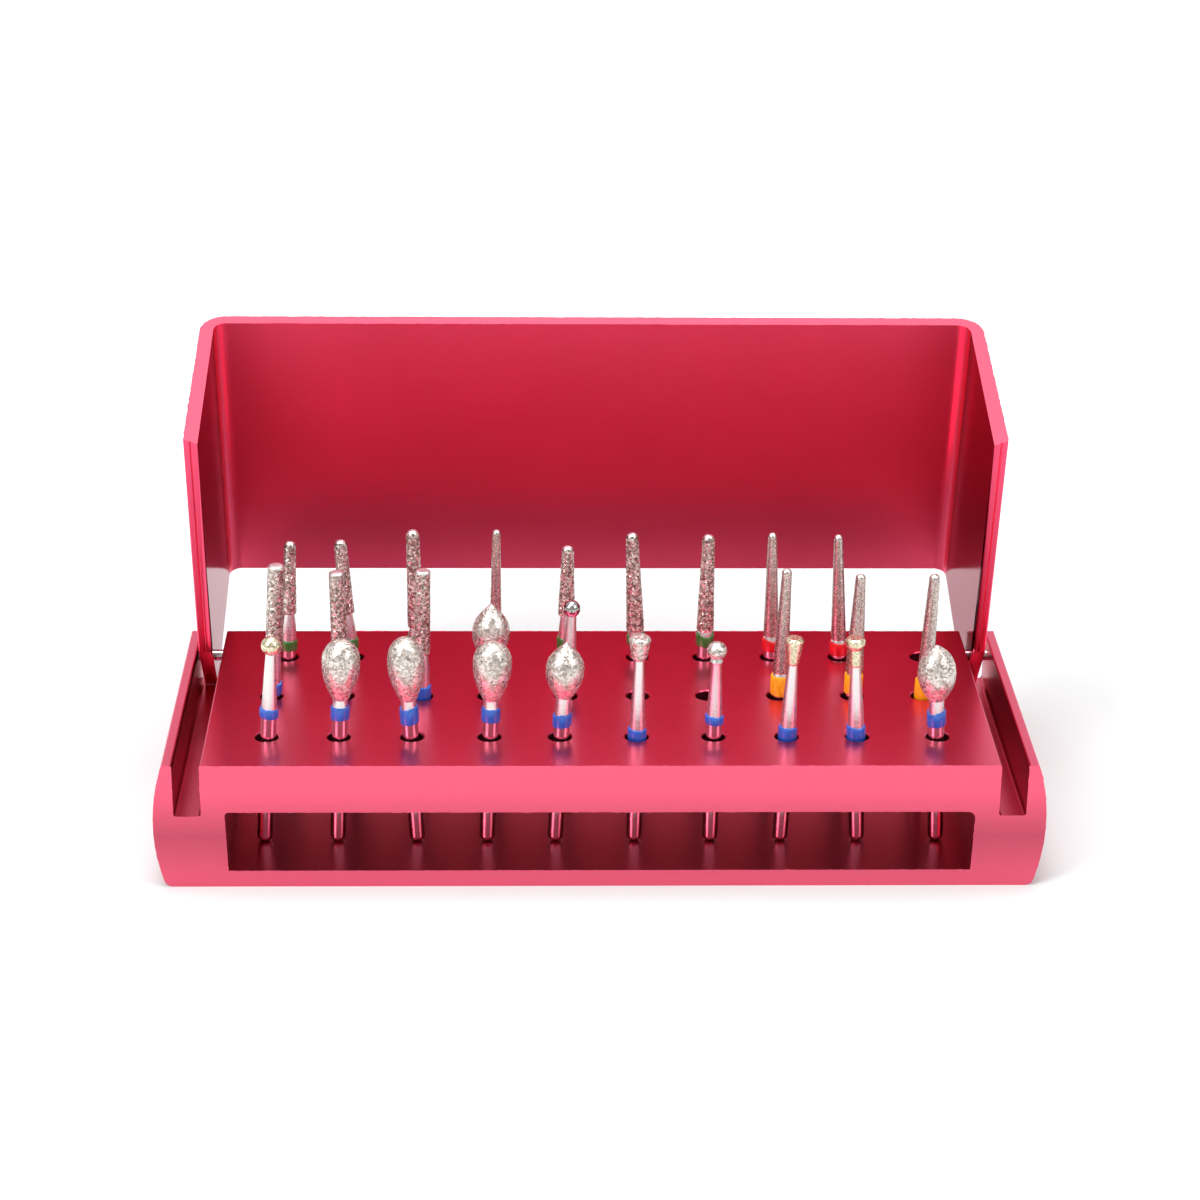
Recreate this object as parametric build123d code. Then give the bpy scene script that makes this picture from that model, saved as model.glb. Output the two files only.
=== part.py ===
from build123d import *
import os
from collections import namedtuple
from math import acos, atan2, cos, radians, sin, sqrt

# A bur block: an anodised aluminium stand with thirty holes for dental burs,
# and a U-shaped lid on two hinge pins. The lid stands open on its stop.
# X runs left to right, Y front to back and Z up, in millimetres.
# The origin is at the centre of the underside.

# Base block, cut from one extruded bar
block_width = 90.0        # over the bulged sides
block_depth = 33.0
block_height = 13.6
bulge = 1.1               # how far each side swells past its top and bottom edges
bottom_round = 1.0        # round along each lower long edge
rim_round = 0.2           # broken long edges of the deck, the slots and the rims

# Slots for the lid's flanges, open at the top and at both ends
rim_top = 1.0             # thickness of the rim outside each slot, at its top edge
slot_width = 2.75
slot_floor = 7.95
slot_round = 0.3          # round in each slot's lower corners
slot_outer = block_width / 2 - bulge - rim_top    # from the centre line to the far wall
slot_inner = slot_outer - slot_width

# Window that runs through from front to back under the deck
window_web = 2.35         # wall between a slot and the window, seen from above
window_taper = 0.2        # how much closer the window's sides are at the bottom
window_floor = 1.8
window_roof = 8.4
window_round_left = 0.4   # rounds in its upper corners
window_round_right = 0.8
window_half_top = slot_inner - window_web
window_half_bottom = window_half_top - window_taper

# Holes for the burs
column_count = 10
end_column_gap = 3.51     # from the window's sides to the first and last columns
column_pitch = 2 * (window_half_top - end_column_gap) / (column_count - 1)
row_offset = 9.75         # front and back rows, from the middle row
hole_d = 2.4
hole_chamfer = 0.12
rows = {"front": -row_offset, "middle": 0.0, "back": row_offset}
# The holes were drilled by eye: how far each one is off the even pitch
hole_drift = {
    "front": (0.4, 0.1, -0.1, 0.15, -0.3, -0.1, 0.1, -0.05, -0.45, 0.15),
    "middle": (0.2, 0.0, 0.6, 0.0, 0.45, 0.35, 0.0, -0.15, 0.0, -0.25),
    "back": (1.2, 0.55, -0.15, 0.6, 0.5, 0.65, 0.2, -0.15, -0.4, 0.8),
}

# Hinge
pin_d = 1.2
pin_from_back = 2.8
pin_height = 12.0
pin_seat = 2.4            # how deep a pin goes into the centre of the block
pin_recess = 0.3          # how far a pin's end lies inside the bulged side
pin_running_gap = 0.08    # radial, between a pin and the lid
stop_gap = 0.02           # between the lid's stop heel and the slot floor

# Lid, cut from a U-shaped extrusion
lid_side_gap = 0.6        # from a centred lid to the far wall of a slot
lid_shift = -0.27         # the lid sits this far to the left on its pins
lid_wall = 1.45
lid_corner_outer = 2.8
lid_flange_front = 3.3    # from the pin to the flange's free edge
lid_reach = 19.4          # from the pin to the panel's inner face
lid_tail = 2.4            # how far the panel goes on below the pin
lid_lean = 13.0           # degrees that the open lid leans forward
heel_back = 1.2           # how far behind the pin the stop heel stands
lid_edge_round = 0.15
lid_half_width = slot_outer - lid_side_gap

# Burs
shank_r = 0.8
band_r = 0.98             # a painted colour band stands a little proud
band_bevel = 0.12
foot_round = 0.6
foot_gap = 0.02           # between a bur's foot and the window floor
collar_height = 0.35      # of the collar under a ball, and the length of its lower slope
collar_slope = 0.25
bud_neck_length = 0.6     # straight neck under a bud
cone_neck_length = 0.3    # slope from the neck out to a cone's lower edge
cone_edge = 0.25          # broken top edge of a cone
wheel_neck_length = 0.2
wheel_edge = 0.2
flat_edge = 0.15
plating_step = 0.2        # slope from the shank out to a plated taper

pin_y = block_depth / 2 - pin_from_back
deck_middle = (window_roof + block_height) / 2
cut_margin = 1.0          # how far a cutting tool runs past the material

Bur = namedtuple("Bur", "column lean length band_low band_high head")


# Heads: each gives the half outline from the band's top edge to the tip, as (radius, height)
def ball_head(ball_r, neck_low, neck_r=0.52, collar_r=0.0):
    def outline(start, length):
        ball_z = length - ball_r
        neck_z = ball_z - sqrt(ball_r ** 2 - neck_r ** 2)
        neck = [start, (shank_r, neck_low)]
        if collar_r:
            collar_z = neck_z - collar_height
            neck += [(neck_r, collar_z - collar_slope), (collar_r, collar_z)]
        ball = ThreePointArc((neck_r, neck_z), (ball_r, ball_z), (0, length))
        return Polyline(*neck, (neck_r, neck_z)) + ball
    return outline


def bud_head(widest_r, widest_z, low, neck_r=0.65, tip_slope=0.0):
    def outline(start, length):
        neck = Polyline(start, (neck_r, low - bud_neck_length), (neck_r, low))
        bud = Spline((neck_r, low), (widest_r, widest_z), (0, length),
                     tangents=((1, 0.75), (0, 1), (-1, tip_slope)))
        return neck + bud
    return outline


def cone_head(top_r, low_r, low, neck_low, neck_r=0.48):
    def outline(start, length):
        return Polyline(start, (shank_r, neck_low), (neck_r, low - cone_neck_length), (low_r, low),
                        (top_r, length - cone_edge), (top_r - cone_edge, length), (0, length))
    return outline


def wheel_head(wheel_r, wheel_thickness, core_r, core_low, neck_low, neck_r=0.48):
    def outline(start, length):
        wheel_low = length - wheel_thickness
        return Polyline(start, (shank_r, neck_low), (neck_r, core_low - wheel_neck_length), (core_r, core_low),
                        (core_r, wheel_low - wheel_edge), (wheel_r, wheel_low + wheel_edge),
                        (wheel_r, length - wheel_edge), (wheel_r - wheel_edge, length), (0, length))
    return outline


def flat_head(top_r, low_r, low):
    def outline(start, length):
        return Polyline(start, (shank_r, low - plating_step), (low_r, low), (top_r, length - flat_edge),
                        (top_r - flat_edge, length), (0, length))
    return outline


def round_head(tip_r, low_r, low):
    def outline(start, length):
        tip_z = length - tip_r
        taper = Polyline(start, (shank_r, low - plating_step), (low_r, low), (tip_r, tip_z))
        tip = ThreePointArc((tip_r, tip_z), (tip_r * cos(radians(45)), tip_z + tip_r * sin(radians(45))),
                            (0, length))
        return taper + tip
    return outline


# What stands in each row: column, sideways lean in degrees, length, band and head
burs = {
    "front": (
        Bur(1, 3.4, 22.9, 14.0, 15.1, ball_head(1.0, 15.2)),
        Bur(2, 2.0, 22.5, 13.8, 15.3, bud_head(1.88, 20.2, 16.5)),
        Bur(3, -2.7, 22.8, 13.4, 15.3, bud_head(1.73, 19.8, 16.5)),
        Bur(4, 1.7, 22.3, 13.5, 15.1, bud_head(1.90, 19.8, 16.3)),
        Bur(5, 2.75, 22.3, 13.0, 14.5, bud_head(1.91, 19.2, 16.4, neck_r=0.72, tip_slope=1.1)),
        Bur(6, 0.7, 22.9, 11.4, 12.8, cone_head(1.10, 0.70, 19.8, 13.0)),
        Bur(7, 0.6, 22.3, 13.3, 14.3, ball_head(0.96, 14.4, collar_r=0.66)),
        Bur(8, 1.9, 22.8, 11.3, 13.0, cone_head(0.96, 0.59, 20.0, 14.3)),
        Bur(9, -2.7, 22.8, 11.3, 13.1, wheel_head(0.99, 1.0, 0.58, 19.8, 14.5)),
        Bur(10, -2.5, 22.0, 13.1, 14.8, bud_head(1.90, 18.8, 16.2, neck_r=0.72, tip_slope=0.6)),
    ),
    "middle": (
        Bur(1, 3.0, 26.6, 12.1, 13.5, flat_head(0.78, 0.82, 17.0)),
        Bur(2, -1.3, 25.8, 12.1, 13.5, flat_head(0.70, 0.80, 16.8)),
        Bur(3, 1.0, 26.0, 11.5, 13.1, flat_head(0.72, 0.74, 16.6)),
        Bur(4, 1.5, 22.3, 13.0, 14.5, bud_head(1.91, 18.9, 16.0, neck_r=0.72, tip_slope=1.4)),
        Bur(5, 2.5, 22.6, 13.2, 14.5, ball_head(0.90, 15.0)),
        Bur(8, 1.5, 26.2, 11.9, 14.2, round_head(0.48, 0.78, 14.5)),
        Bur(9, 1.1, 25.6, 12.2, 14.4, round_head(0.49, 0.93, 14.7)),
        Bur(10, 2.2, 25.6, 11.5, 13.8, round_head(0.53, 0.80, 14.1)),
    ),
    "back": (
        Bur(1, 2.3, 25.2, 12.7, 13.9, round_head(0.55, 0.74, 17.0)),
        Bur(2, -3.7, 25.4, 12.9, 14.3, round_head(0.60, 0.76, 17.0)),
        Bur(3, -1.0, 26.5, 13.0, 14.5, round_head(0.64, 0.78, 15.4)),
        Bur(4, 0.6, 26.5, 13.0, 14.5, round_head(0.41, 0.60, 16.0)),
        Bur(5, 0.85, 24.7, 12.8, 14.2, round_head(0.57, 0.84, 16.8)),
        Bur(6, -2.6, 26.2, 13.5, 14.7, round_head(0.585, 0.90, 15.0)),
        Bur(7, 0.65, 26.0, 13.3, 14.7, round_head(0.585, 0.86, 15.0)),
        Bur(8, -1.1, 26.2, 12.7, 14.1, round_head(0.445, 0.80, 14.4)),
        Bur(9, -2.35, 26.0, 12.2, 13.7, round_head(0.455, 0.785, 14.0)),
    ),
}


def hole_x(row, column):
    even = (column - (column_count + 1) / 2) * column_pitch
    return even + hole_drift[row][column - 1]


def block_section():
    half = block_width / 2
    edge = half - bulge
    side = ThreePointArc((edge, 0), (half, block_height / 2), (edge, block_height))
    outline = side + Line((edge, block_height), (-edge, block_height))
    outline += mirror(side, Plane.YZ)
    outline += Line((-edge, 0), (edge, 0))
    section = make_face(outline)
    section = fillet(section.vertices().sort_by(Axis.Y)[:2], bottom_round)

    slot_cut = block_height - slot_floor + cut_margin
    slot = Rectangle(slot_width, slot_cut)
    slot = fillet(slot.vertices().sort_by(Axis.Y)[:2], slot_round)
    for side_sign in (-1, 1):
        slot_x = side_sign * (slot_inner + slot_outer) / 2
        section -= Pos(slot_x, slot_floor + slot_cut / 2) * slot
    top_corners = section.vertices().filter_by(lambda v: v.Y > block_height - 0.01)
    section = fillet(top_corners, rim_round)

    window = make_face(Polyline((-window_half_bottom, window_floor), (window_half_bottom, window_floor),
                                (window_half_top, window_roof), (-window_half_top, window_roof),
                                close=True))
    upper_left, upper_right = window.vertices().sort_by(Axis.Y)[-2:].sort_by(Axis.X)
    window = fillet(upper_right, window_round_right)
    upper_left = window.vertices().filter_by(lambda v: v.Y > window_roof - 0.01).sort_by(Axis.X)[0]
    window = fillet(upper_left, window_round_left)
    return section - window


def base_block():
    bar = extrude(Plane.XZ * block_section(), block_depth / 2, both=True)
    deck = block_height - window_roof
    drill = Cylinder(hole_d / 2, deck + 2 * cut_margin)
    sink = Pos(0, 0, block_height - hole_chamfer / 2) * Cone(hole_d / 2, hole_d / 2 + hole_chamfer, hole_chamfer)
    for row, row_y in rows.items():
        for column in range(1, column_count + 1):
            x = hole_x(row, column)
            bar -= Pos(x, row_y, deck_middle) * drill
            bar -= Pos(x, row_y, 0) * sink
    for side_sign in (-1, 1):
        bar -= pin_solid(side_sign, block_width / 2 + cut_margin)
    return bar


def pin_solid(side_sign, outer_x):
    inner_x = slot_inner - pin_seat
    middle_x = side_sign * (inner_x + outer_x) / 2
    return Pos(middle_x, pin_y, pin_height) * Rot(0, 90, 0) * Cylinder(pin_d / 2, outer_x - inner_x)


def hinge_pin(side_sign):
    side_at_pin = block_width / 2 - bulge
    return pin_solid(side_sign, side_at_pin - pin_recess)


def lid_section():
    panel_y = lid_reach + lid_wall
    depth = panel_y + lid_flange_front
    middle_y = (panel_y - lid_flange_front) / 2
    outer = Pos(0, middle_y) * Rectangle(2 * lid_half_width, depth)
    outer = fillet(outer.vertices().sort_by(Axis.Y)[-2:], lid_corner_outer)
    inner = Pos(0, middle_y - lid_wall) * Rectangle(2 * (lid_half_width - lid_wall), depth)
    inner = fillet(inner.vertices().sort_by(Axis.Y)[-2:], lid_corner_outer - lid_wall)
    section = outer - inner
    free_corners = section.vertices().filter_by(lambda v: v.Y < -lid_flange_front + 0.01)
    return fillet(free_corners, lid_edge_round)


def lid_side_outline():
    # The heel is the point that comes to rest on the slot floor when the lid is open
    heel_drop = pin_height - slot_floor - stop_gap
    lean = radians(lid_lean)
    heel = (heel_back * cos(lean) - heel_drop * sin(lean), -heel_back * sin(lean) - heel_drop * cos(lean))
    heel_distance = sqrt(heel[0] ** 2 + heel[1] ** 2)
    heel_angle = atan2(heel[1], heel[0])
    turn = acos(lid_flange_front / heel_distance)
    arc_end = heel_angle - turn
    front = lid_flange_front
    round_end = (front * cos(arc_end), front * sin(arc_end))
    half_way = (-radians(180) + arc_end) / 2
    round_middle = (front * cos(half_way), front * sin(half_way))
    panel_inner = lid_reach - (lid_corner_outer - lid_wall)
    outer = lid_reach + lid_wall
    free_end = block_depth - pin_from_back
    outline = ThreePointArc((-front, 0), round_middle, round_end)
    outline += Polyline(round_end, heel, (panel_inner, -lid_tail), (outer, -lid_tail),
                        (outer, free_end), (-front, free_end), (-front, 0))
    return make_face(outline)


def lid():
    long_bar = extrude(lid_section(), block_depth + 2 * lid_corner_outer, both=True)
    side = extrude(Plane.YZ * lid_side_outline(), lid_half_width + cut_margin, both=True)
    pin_hole = Rot(0, 90, 0) * Cylinder(pin_d / 2 + pin_running_gap, 2 * (lid_half_width + cut_margin))
    body = (long_bar & side) - pin_hole
    return Pos(lid_shift, pin_y, pin_height) * Rot(lid_lean, 0, 0) * body


def bur_solid(bur):
    head_start = (shank_r, bur.band_high)
    foot = Polyline((0, bur.length), (0, 0), (shank_r - foot_round, 0))
    foot += RadiusArc((shank_r - foot_round, 0), (shank_r, foot_round), -foot_round)
    shank = Polyline((shank_r, foot_round), (shank_r, bur.band_low), (band_r, bur.band_low + band_bevel),
                     (band_r, bur.band_high - band_bevel), head_start)
    outline = foot + shank + bur.head(head_start, bur.length)
    return revolve(Plane.XZ * make_face(outline), Axis.Z)


def placed_bur(row, bur):
    lean = radians(bur.lean)
    foot_drop = (shank_r - foot_round) * abs(sin(lean)) + foot_round * (1 - cos(lean))
    foot_z = window_floor + foot_gap + foot_drop
    below_deck_middle = (deck_middle - foot_z) / cos(lean)
    place = Pos(hole_x(row, bur.column), rows[row], deck_middle) * Rot(0, bur.lean, 0)
    return place * Pos(0, 0, -below_deck_middle) * bur_solid(bur)


os.makedirs("parts", exist_ok=True)
export_step(base_block(), "parts/base_block.step")
export_step(lid(), "parts/lid.step")
for side_name, side_sign in (("left", -1), ("right", 1)):
    export_step(hinge_pin(side_sign), f"parts/hinge_pin_{side_name}.step")
for row, row_burs in burs.items():
    for bur in row_burs:
        export_step(placed_bur(row, bur), f"parts/bur_{row}_{bur.column:02d}.step")
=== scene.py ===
from collections import namedtuple
from math import asin, cos, pi, radians, sin
from random import Random

import bmesh
import bpy
from mathutils import Euler, Matrix, Vector, noise
from mathutils.geometry import interpolate_bezier


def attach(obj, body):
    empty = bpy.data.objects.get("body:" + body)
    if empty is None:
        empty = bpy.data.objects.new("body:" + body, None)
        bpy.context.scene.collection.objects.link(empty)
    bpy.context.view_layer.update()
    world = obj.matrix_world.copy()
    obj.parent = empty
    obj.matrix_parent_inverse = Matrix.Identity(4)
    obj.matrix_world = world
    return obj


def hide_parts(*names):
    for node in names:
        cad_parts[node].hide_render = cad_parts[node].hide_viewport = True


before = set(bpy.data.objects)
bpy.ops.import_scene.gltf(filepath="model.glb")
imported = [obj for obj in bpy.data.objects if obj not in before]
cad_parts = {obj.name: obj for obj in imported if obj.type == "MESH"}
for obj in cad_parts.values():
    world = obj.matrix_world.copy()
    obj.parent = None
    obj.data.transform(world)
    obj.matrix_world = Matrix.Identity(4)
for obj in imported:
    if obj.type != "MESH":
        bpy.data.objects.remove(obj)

bl_info = {
    "name": "Dental bur block",
    "version": (1, 0, 0),
    "blender": (4, 5, 0),
    "location": "View3D > Sidebar > Bur Block",
    "description": "Finishes an anodised bur block, its lid and its burs, and sets them on a pale stage",
    "category": "Object",
}

# The scene is in metres. Sizes below are in millimetres unless a setting says otherwise.
MM = 0.001
BASE = "base"
LID = "lid"

# The block, the hinge and the lid, as far as the burs and the finishes need them
BLOCK_DEPTH = 33.0
BLOCK_HEIGHT = 13.6
WINDOW_FLOOR = 1.8
WINDOW_ROOF = 8.4
DECK_MIDDLE = (WINDOW_ROOF + BLOCK_HEIGHT) / 2
SLOT_INNER = 40.15
SLOT_OUTER = 42.9
SLOT_FLOOR = 7.95
HOLE_R = 1.2
COLUMN_COUNT = 10
COLUMN_PITCH = 7.62
ROW_OFFSET = 9.75
LID_LEAN = radians(13.0)
LID_PIN = Vector((-0.27, 13.7, 12.0))
LID_HALF_WIDTH = 42.3
LID_WALL = 1.45
LID_FLANGE_FRONT = 3.3
LID_EDGE_ROUND = 0.15
LID_HEEL = Vector((0.0, 0.263, -4.197))
FLANGE_CUT_HEIGHT = 3.0
FLANGE_EDGE_ROUND = 0.55
FLANGE_ROUND_STEPS = 6
DIE_LINE_PLACE = 0.72
DIE_LINE_WIDTH = 0.12
DIE_LINE_DEPTH = 0.09
TOUCH = 1e-3
NEAR_FACE = 0.02

# Sawn edges: angles are in degrees, and lengths, areas and the burr's frequency in metres
MERGE_DISTANCE = 1e-6
CUT_TOLERANCE = 1e-7
END_TOLERANCE = 2e-6
COPLANAR_ANGLE = 0.4
RIM_ANGLE = 28
RIM_STEPS = (0.012, 0.003, 0.0008, 0.0003)
RIM_CUTS = 3
BURR_FREQUENCY = 2300.0
FLAT = 0.9999
LARGE_FLAT = 40 * MM * MM
EXTRUSION_SHARP_ANGLE = 20
BUR_SHARP_ANGLE = 40

ROWS = {"front": -ROW_OFFSET, "middle": 0.0, "back": ROW_OFFSET}
HOLE_DRIFT = {
    "front": (0.4, 0.1, -0.1, 0.15, -0.3, -0.1, 0.1, -0.05, -0.45, 0.15),
    "middle": (0.2, 0.0, 0.6, 0.0, 0.45, 0.35, 0.0, -0.15, 0.0, -0.25),
    "back": (1.2, 0.55, -0.15, 0.6, 0.5, 0.65, 0.2, -0.15, -0.4, 0.8),
}

# Burs
SHANK_R = 0.8
BAND_R = 0.98
BAND_EDGE = 0.1
BAND_TILT = (0.06, 0.34)
BAND_WAVE = 0.04
BAND_LOWER_SHARE = 0.35
FOOT_GAP = 0.02
FOOT_ROUND = 0.6
NECK_R = 0.5
NECK_TAPER = 1.6
NECK_OVERLAP = 0.1
TURNED_SEGMENTS = 48

# Places in the finished pieces' lists of materials
SAWN_SLOT, SHADED_HOLE_SLOT, SHADED_CAVITY_SLOT = 1, 2, 3
FLANGE_SLOT = 2
STEEL_SLOT, BAND_SLOT, HEAD_SLOT, GROUND_SLOT = 0, 1, 2, 3
# Edge tint of the flange's inside: dims its reflection as painted shade
FLANGE_SHADE_TINT = (0.62, 0.50, 0.52)

Bur = namedtuple("Bur", "row column lean length band_low band_high band head grit")


# Heads: each returns the neck's outline and the plated head's outline, as (radius, height)
def bezier(start, start_handle, end_handle, end, steps=14):
    corners = [Vector((r, z, 0)) for r, z in (start, start_handle, end_handle, end)]
    points = interpolate_bezier(*corners, steps)
    return [(p.x, p.y) for p in points]


def arc(centre_z, radius, from_angle, to_angle, steps=14):
    angles = [from_angle + (to_angle - from_angle) * i / steps for i in range(steps + 1)]
    return [(max(0.0, radius * cos(a)), centre_z + radius * sin(a)) for a in angles]


def ball_head(length, ball_r, neck_low, neck_r=0.52, collar_r=0.0):
    """A ball on a tapered neck, with a collar below it where collar_r is given."""
    ball_z = length - ball_r
    neck_angle = -(pi / 2 - asin(neck_r / ball_r))
    neck_z = ball_z + ball_r * sin(neck_angle)
    neck = [(SHANK_R, neck_low), (neck_r, neck_z)]
    if collar_r:
        collar_z = neck_z - 0.35
        neck = [(SHANK_R, neck_low), (neck_r, collar_z - 0.25), (collar_r, collar_z), (neck_r, neck_z)]
    head = [(0.0, ball_z - ball_r * 0.9)] + arc(ball_z, ball_r, neck_angle, pi / 2)
    return neck, head


def bud_head(length, widest_r, widest_z, low, neck_r=0.65, tip_slope=0.0):
    """An egg on a short neck. A steeper tip has a lower shoulder."""
    neck = [(SHANK_R, low - 1.4), (neck_r, low - 0.6), (neck_r, low + NECK_OVERLAP)]
    lower_rise = widest_z - low
    upper_rise = length - widest_z
    swell = 0.53 * (widest_r - neck_r)
    lower = bezier((neck_r, low), (neck_r + swell, low + lower_rise / 3),
                   (widest_r, widest_z - 0.45 * lower_rise), (widest_r, widest_z))
    round_share = 0.57
    handle = round_share * widest_r
    shoulder = round_share - 0.13 * tip_slope
    upper = bezier((widest_r, widest_z), (widest_r, widest_z + shoulder * upper_rise),
                   (handle, length - handle * tip_slope), (0.0, length))
    return neck, [(0.0, low)] + lower + upper[1:]


def cone_head(length, top_r, low_r, low, neck_low):
    """An inverted cone on a tapered neck."""
    edge = 0.25
    neck = [(SHANK_R, neck_low), (NECK_R, low - 0.3), (NECK_R, low + NECK_OVERLAP)]
    head = [(0.0, low - 0.2), (NECK_R, low - 0.2), (low_r, low), (top_r, length - edge)]
    return neck, head + [(top_r - edge, length), (0.0, length)]


def wheel_head(length, wheel_r, thickness, core_r, core_low, neck_low):
    """A wheel on a plated core, on a tapered neck."""
    edge = 0.2
    wheel_low = length - thickness
    neck = [(SHANK_R, neck_low), (NECK_R, core_low - 0.2), (NECK_R, core_low + NECK_OVERLAP)]
    core = [(0.0, core_low - 0.2), (NECK_R, core_low - 0.2), (core_r, core_low), (core_r, wheel_low - edge)]
    wheel = [(wheel_r, wheel_low + edge), (wheel_r, length - edge), (wheel_r - edge, length), (0.0, length)]
    return neck, core + wheel


def flat_head(length, top_r, low_r, low):
    """A taper with a flat end."""
    edge = 0.15
    neck = [(SHANK_R, low - NECK_TAPER), (low_r * 0.8, low)]
    head = [(0.0, low - 0.1), (low_r - edge, low - 0.1), (low_r, low), (top_r, length - edge)]
    return neck, head + [(top_r - edge, length), (0.0, length)]


def round_head(length, tip_r, low_r, low):
    """A taper with a round end."""
    neck = [(SHANK_R, low - NECK_TAPER), (low_r * 0.8, low)]
    tip = arc(length - tip_r, tip_r, 0.0, pi / 2, 8)
    return neck, [(0.0, low - 0.1), (low_r - 0.12, low - 0.1), (low_r, low)] + tip


# What stands in each row: column, lean in degrees, length, band edges, band colour, head and grit
BURS = (
    Bur("front", 1, 3.4, 22.9, 14.0, 15.1, "blue", (ball_head, 1.0, 15.2), "gold"),
    Bur("front", 2, 2.0, 22.5, 13.8, 15.3, "blue", (bud_head, 1.90, 20.2, 16.0, 0.76), "pale"),
    Bur("front", 3, -2.7, 22.8, 13.4, 15.3, "blue", (bud_head, 1.84, 20.1, 15.9, 0.78), "pale"),
    Bur("front", 4, 1.7, 22.3, 13.5, 15.1, "blue", (bud_head, 1.93, 20.0, 15.9, 0.76), "pale"),
    Bur("front", 5, 2.75, 22.3, 13.0, 14.5, "blue", (bud_head, 1.91, 19.3, 16.2, 0.76, 1.0), "pale"),
    Bur("front", 6, 0.7, 22.9, 11.4, 12.8, "blue", (cone_head, 1.10, 0.70, 20.5, 13.0), "pale"),
    Bur("front", 7, 0.6, 22.3, 13.3, 14.3, "blue", (ball_head, 0.96, 14.4, 0.52, 0.66), "pale"),
    Bur("front", 8, 1.9, 22.8, 11.3, 13.0, "blue", (cone_head, 0.96, 0.59, 20.0, 14.3), "gold"),
    Bur("front", 9, -2.7, 22.8, 11.3, 13.1, "blue", (wheel_head, 0.99, 1.0, 0.58, 19.8, 14.5), "gold"),
    Bur("front", 10, -2.5, 22.0, 13.1, 14.8, "blue", (bud_head, 1.90, 18.9, 15.9, 0.78, 0.6), "pale"),
    Bur("middle", 1, 3.0, 26.6, 12.1, 13.5, "blue", (flat_head, 0.78, 0.82, 17.0), "coarse"),
    Bur("middle", 2, -1.3, 25.8, 12.1, 13.5, "blue", (flat_head, 0.70, 0.80, 16.8), "coarse"),
    Bur("middle", 3, 1.0, 26.0, 11.5, 13.1, "blue", (flat_head, 0.72, 0.74, 16.6), "coarse"),
    Bur("middle", 4, 1.5, 22.3, 13.0, 14.5, "blue", (bud_head, 1.91, 19.0, 16.0, 0.74, 1.1), "pale"),
    Bur("middle", 5, 2.5, 22.6, 13.2, 14.5, "blue", (ball_head, 0.90, 15.0), "polished"),
    Bur("middle", 8, 1.5, 26.2, 11.9, 14.2, "yellow", (round_head, 0.48, 0.78, 14.5), "fine"),
    Bur("middle", 9, 1.1, 25.6, 12.2, 14.4, "yellow", (round_head, 0.49, 0.93, 14.7), "fine"),
    Bur("middle", 10, 2.2, 25.6, 11.5, 13.8, "yellow", (round_head, 0.53, 0.80, 14.1), "fine"),
    Bur("back", 1, 2.3, 25.2, 12.7, 13.9, "green", (round_head, 0.55, 0.74, 17.0), "coarse"),
    Bur("back", 2, -3.7, 25.4, 12.9, 14.3, "green", (round_head, 0.60, 0.76, 17.0), "coarse"),
    Bur("back", 3, -1.0, 26.5, 13.0, 14.5, "green", (round_head, 0.64, 0.78, 15.4), "coarse"),
    Bur("back", 4, 0.6, 26.5, 13.0, 14.5, "red", (round_head, 0.41, 0.60, 16.0), "fine"),
    Bur("back", 5, 0.85, 24.7, 12.8, 14.2, "green", (round_head, 0.57, 0.84, 16.8), "coarse"),
    Bur("back", 6, -2.6, 26.2, 13.5, 14.7, "green", (round_head, 0.585, 0.90, 15.0), "coarse"),
    Bur("back", 7, 0.65, 26.0, 13.3, 14.7, "green", (round_head, 0.585, 0.86, 15.0), "coarse"),
    Bur("back", 8, -1.1, 26.2, 12.7, 14.1, "red", (round_head, 0.445, 0.80, 14.4), "fine"),
    Bur("back", 9, -2.35, 26.0, 12.2, 13.7, "red", (round_head, 0.455, 0.785, 14.0), "fine"),
)

# Grit: spacing of the crystals, how far they stand out, thickness of the coat and length of the bare
# tip, then the three tones, how metallic and rough it is, size of the toned cells and their relief
Grit = namedtuple("Grit", "pitch height coat bare dark middle light metallic roughness cell relief")
GRITS = {
    "coarse": Grit(0.17, 0.055, 0.10, 0.22, (0.17, 0.13, 0.11), (0.43, 0.36, 0.32), (0.84, 0.77, 0.72),
                   0.9, 0.34, 0.22, 0.2),
    "pale": Grit(0.17, 0.015, 0.06, 0.0, (0.36, 0.31, 0.275), (0.57, 0.505, 0.46), (0.82, 0.76, 0.72),
                 0.85, 0.40, 0.22, 0.2),
    "gold": Grit(0.12, 0.004, 0.02, 0.0, (0.50, 0.43, 0.27), (0.64, 0.57, 0.39), (0.85, 0.79, 0.60),
                 0.9, 0.26, 0.18, 0.06),
    "fine": Grit(0.10, 0.012, 0.04, 0.20, (0.32, 0.265, 0.24), (0.48, 0.405, 0.365), (0.71, 0.64, 0.59),
                 1.0, 0.36, 0.10, 0.2),
}
GRIT_LABELS = {"coarse": "coarse diamond grit", "pale": "medium diamond grit",
               "gold": "gilt diamond grit", "fine": "fine diamond grit"}
TIP_WEAR = 1.6
LOOSE_SHARE = 0.28
CRYSTAL_PITS = (0.5, 1.1)
CRYSTAL_PEAKS = (0.1, 1.0)

# The photograph's camera, in millimetres and degrees
CAMERA_PLACE = (-8.66, -294.88, 152.76)
CAMERA_PITCH = 23.5
CAMERA_YAW = 1.70
CAMERA_ROLL = 0.704
FOCAL_PIXELS = 3113.8
PHOTO_WIDTH = 1200
SENSOR_WIDTH = 36.0
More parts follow.
